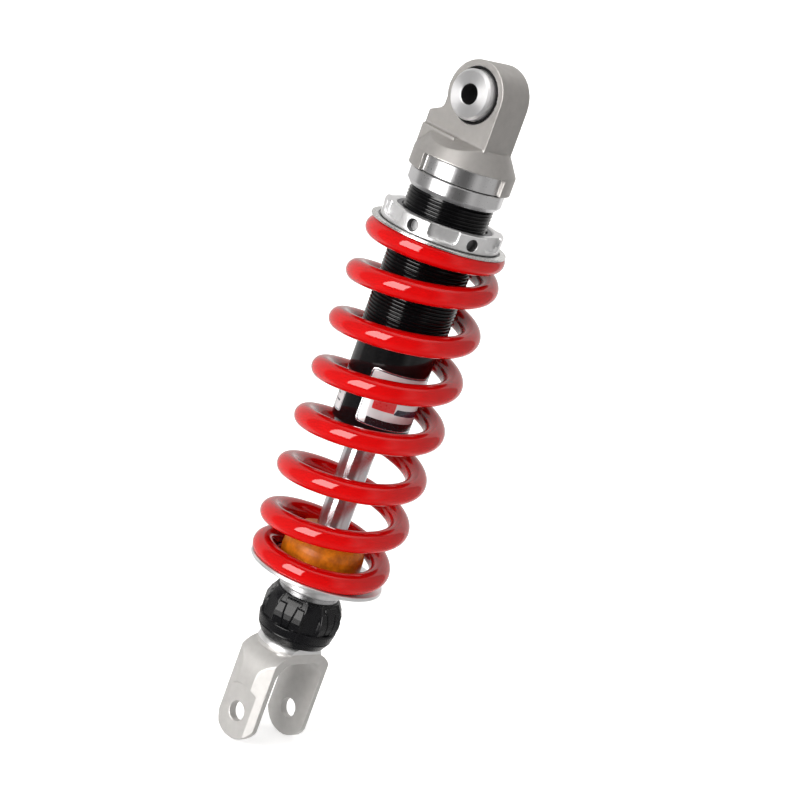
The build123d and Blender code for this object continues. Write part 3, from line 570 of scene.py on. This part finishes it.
def knob_r(deg, z):
    b = float(np.interp(z, [p[0] for p in prof], [p[1] for p in prof]))
    d = (deg + 157.0 + 36) % 72 - 36          # from the nearest lobe's middle
    flat = 19.2 / math.cos(math.radians(36 - abs(d)))
    plane = b * 0.936 / math.cos(math.radians(min(abs(d), 26.0)))   # each lobe's ribs lie in one flat plane
    lobe = plane - 0.6
    mid = 5.5 + (min(max(z, 53.0), 64.0) - 53.0) / 11.0 * 4.5
    e = 0.55                                   # half width of the edges, in degrees
    if z > 63.7:
        k = smooth01((z - 63.7) / 0.4)
        mid = mid + (15.0 - mid) * k
    m_mid = smooth01((mid - 0.7 - abs(d)) / (2 * e) + 0.5) * smooth01((z - 51.9) / 0.35) * smooth01((65.9 - z) / 0.35)
    m_side = smooth01((abs(d) - mid - 0.7) / (2 * e) + 0.5) * smooth01((21.3 - abs(d)) / (2 * e) + 0.5) * smooth01((z - 51.5) / 0.35) * smooth01((63.2 - z) / 0.35)
    r = lobe + 0.6 * max(m_mid, m_side)
    side = smooth01((abs(d) - 20.8) / 4.6)
    r = min(b, r + (min(flat, b) - r) * side)
    rim = b
    if z > 51.2:
        k = smooth01((z - 51.2) / 0.5)
        r = rim + (r - rim) * k
    else:
        r = rim
    r -= 0.38 * math.exp(-((z - 51.3) / 0.28) ** 2)
    r -= 0.30 * math.exp(-((z - 46.4) / 0.25) ** 2)
    return r


kz = sorted(set([round(x, 3) for x in np.arange(42.0, 66.61, 0.22)]))
NA = 900
verts, faces = [], []
cols = []
inner_k = [(16.6, 67.25), (16.0, 67.4), (16.0, 66.7), (10.55, 66.7), (10.55, 63.8), (12.3, 63.8), (12.3, 60.2), (10.55, 60.2), (10.55, 58.0), (12.6, 58.0), (12.6, 52.0),
           (10.55, 52.0), (10.55, 43.4), (13.8, 43.4), (13.8, 42.1), (14.0, 42.0), (16.6, 42.0)]
for i in range(NA):
    deg = 360.0 * i / NA
    th = math.radians(deg)
    c, s = math.cos(th), math.sin(th)
    ring = [(knob_r(deg, z), z) for z in kz] + [(min(17.0, knob_r(deg, 66.6) - 0.25), 67.0)] + inner_k
    for r, z in ring:
        verts.append((r * c * MM, r * s * MM, z * MM))
nk = len(kz) + 1 + len(inner_k)
for i in range(NA):
    i2 = (i + 1) % NA
    for j in range(nk):
        j2 = (j + 1) % nk
        faces.append((i * nk + j, i * nk + j2, i2 * nk + j2, i2 * nk + j))
obj_from("rebound_knob_grip", verts, faces, "black_plastic", "rebound_knob_assembly", "rebound_knob", smooth=60, weighted=False)


# ------------------------------------------------------------------ labels: thin printed foils wrapped on the tube
def foil(name, poly, r0, thick, mat, body=BODY, corner=0.0):
    """poly is a list of (degrees, height mm). It is cut into narrow strips, wrapped on radius r0 and given a thickness."""
    pts = [(math.radians(a) * r0, z) for a, z in poly]
    if corner:
        pts = rounded([(p[0] + 1000, p[1]) for p in pts], corner, 5)
        pts = [(p[0] - 1000, p[1]) for p in pts]
    bm = bmesh.new()
    bm.faces.new([bm.verts.new((x, z, 0)) for x, z in pts])
    lo, hi = min(p[0] for p in pts), max(p[0] for p in pts)
    x = lo + 0.5
    while x < hi:
        bmesh.ops.bisect_plane(bm, geom=bm.verts[:] + bm.edges[:] + bm.faces[:], plane_co=(x, 0, 0), plane_no=(1, 0, 0), dist=1e-6)
        x += 0.5
    ext = bmesh.ops.extrude_face_region(bm, geom=bm.faces[:])
    for v in [g for g in ext["geom"] if isinstance(g, bmesh.types.BMVert)]:
        v.co.z = thick
    for v in bm.verts:
        a, z, h = v.co.x / r0, v.co.y, v.co.z
        v.co = ((r0 + h) * math.cos(a) * MM, (r0 + h) * math.sin(a) * MM, z * MM)
    bmesh.ops.recalc_face_normals(bm, faces=bm.faces)
    me = bpy.data.meshes.new(name)
    bm.to_mesh(me)
    bm.free()
    me.shade_smooth()
    me.set_sharp_from_angle(angle=math.radians(30))
    me.materials.append(MAT[mat])
    o = bpy.data.objects.new(name, me)
    scene.collection.objects.link(o)
    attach(o, body)
    return o


LA, LB = -163.5, -56.0
foil("label_frame", [(LA, 165.0), (LB, 165.0), (LB, 193.8), (LA, 193.8)], 19.90, 0.05, "label_frame", corner=2.6)
foil("label_line", [(LA + 1.2, 165.45), (LB - 1.2, 165.45), (LB - 1.2, 193.35), (LA + 1.2, 193.35)], 19.94, 0.03, "label_blue", corner=2.2)
foil("label_field", [(LA + 2.6, 165.9), (LB - 2.6, 165.9), (LB - 2.6, 192.9), (LA + 2.6, 192.9)], 19.96, 0.03, "label_silver", corner=1.9)
foil("label_block", [(-146.0, 174.0), (-112.0, 174.0), (-112.0, 187.5), (-146.0, 187.5)], 19.98, 0.03, "label_red", corner=0.3)
foil("label_band", [(-112.5, 173.6), (-58.5, 172.6), (-58.5, 176.0), (-108.5, 176.6)], 19.98, 0.03, "label_blue", corner=0.2)
low = [(-149.0, 165.7), (-58.0, 165.7), (-58.0, 169.4), (-149.0, 169.4)]
foil("label_foot", low, 19.98, 0.03, "label_black", corner=0.3)
foil("side_label_frame", [(118.0, 164.4), (165.0, 164.4), (165.0, 186.0), (118.0, 186.0)], 19.90, 0.05, "label_frame", corner=1.8)
foil("side_label_line", [(119.0, 164.8), (164.0, 164.8), (164.0, 185.6), (119.0, 185.6)], 19.94, 0.03, "label_blue", corner=1.5)
foil("side_label_field", [(119.7, 165.1), (163.3, 165.1), (163.3, 185.3), (119.7, 185.3)], 19.96, 0.03, "label_silver", corner=1.3)
for k in range(5):
    foil("side_label_bar_%d" % k, [(126.0, 169.0 + 3.2 * k), (157.0 - (7.0 if k % 2 else 0.0), 169.0 + 3.2 * k), (157.0 - (7.0 if k % 2 else 0.0), 169.8 + 3.2 * k), (126.0, 169.8 + 3.2 * k)],
         19.98, 0.02, "label_black")

# ------------------------------------------------------------------ light, floor and backdrop
world = bpy.data.worlds.new("studio")
scene.world = world
world.use_nodes = True
nt = world.node_tree
n, l = nt.nodes, nt.links
bg = n["Background"]
tc = n.new("ShaderNodeTexCoord")
B0 = Vector((math.sin(AZ), -math.cos(AZ), 0.0))


def dot(v):
    x = n.new("ShaderNodeVectorMath")
    x.operation = "DOT_PRODUCT"
    l.new(tc.outputs["Generated"], x.inputs[0])
    x.inputs[1].default_value = v
    return x.outputs["Value"]


def math_node(op, a, b=None):
    x = n.new("ShaderNodeMath")
    x.operation = op
    for i, v in enumerate((a, b)):
        if v is None:
            continue
        if isinstance(v, (int, float)):
            x.inputs[i].default_value = v
        else:
            l.new(v, x.inputs[i])
    return x.outputs[0]


def step(src, a, b):
    x = n.new("ShaderNodeMapRange")
    x.interpolation_type = "SMOOTHSTEP"
    x.inputs["From Min"].default_value = a
    x.inputs["From Max"].default_value = b
    l.new(src, x.inputs["Value"])
    return x.outputs["Result"]


azim = math_node("MULTIPLY", math_node("ARCTAN2", dot(right), dot(B0)), 180 / math.pi)   # 0 towards the camera, + to the right
elev = math_node("MULTIPLY", math_node("ARCSINE", dot((0, 0, 1))), 180 / math.pi)


def softbox(a0, a1, e0, e1, strength, soft=1.5, esoft=3.0):
    m = math_node("MULTIPLY", step(azim, a0 - soft, a0 + soft), step(azim, a1 + soft, a1 - soft))
    m = math_node("MULTIPLY", m, step(elev, e0 - esoft, e0 + esoft))
    m = math_node("MULTIPLY", m, step(elev, e1 + esoft, e1 - esoft))
    return math_node("MULTIPLY", m, strength)


total = None
for box in [
    (-54, -20, -14, 42, 8.0),
    (36, 58, -30, 60, 0.50, 14.0, 12.0),
    (-104, -54, -50, 60, 0.16, 6.0, 9.0),
    (64, 138, -50, 60, 0.36, 12.0, 9.0),
    (-190, -104, -60, 60, 0.55, 4.0, 9.0),
    (138, 190, -60, 60, 0.75, 4.0, 9.0),
    (-190, 190, 62, 95, 1.1, 1.5, 9.0),
    (-190, 190, -95, -34, 0.12, 1.5, 9.0),
]:
    s = softbox(*box)
    total = s if total is None else math_node("ADD", total, s)
total = math_node("ADD", total, 0.09)
l.new(total, bg.inputs["Strength"])
bg.inputs["Color"].default_value = (1.0, 0.985, 0.97, 1.0)

bm = bmesh.new()
bmesh.ops.create_circle(bm, cap_ends=True, segments=96, radius=12.5)
me = bpy.data.meshes.new("floor")
bm.to_mesh(me)
bm.free()
floor = bpy.data.objects.new("floor", me)
scene.collection.objects.link(floor)
floor.location = (0, 0, -0.01445)
me.materials.append(MAT["floor_pale"])
shader = MAT["floor_pale"].node_tree.nodes["Principled BSDF"]
shader.inputs["Emission Color"].default_value = (1, 1, 1, 1)
shader.inputs["Emission Strength"].default_value = 0.5
floor.visible_glossy = False

# a pale dome behind everything, seen by the camera only
bm = bmesh.new()
bmesh.ops.create_uvsphere(bm, u_segments=48, v_segments=24, radius=12.0)
me = bpy.data.meshes.new("backdrop")
bm.to_mesh(me)
bm.free()
dome = bpy.data.objects.new("backdrop", me)
scene.collection.objects.link(dome)
paper = MAT["floor_pale"].copy()
paper.name = "backdrop_pale"
paper.node_tree.nodes["Principled BSDF"].inputs["Emission Strength"].default_value = 1.0
me.materials.append(paper)
dome.visible_glossy = dome.visible_diffuse = dome.visible_shadow = dome.visible_transmission = False
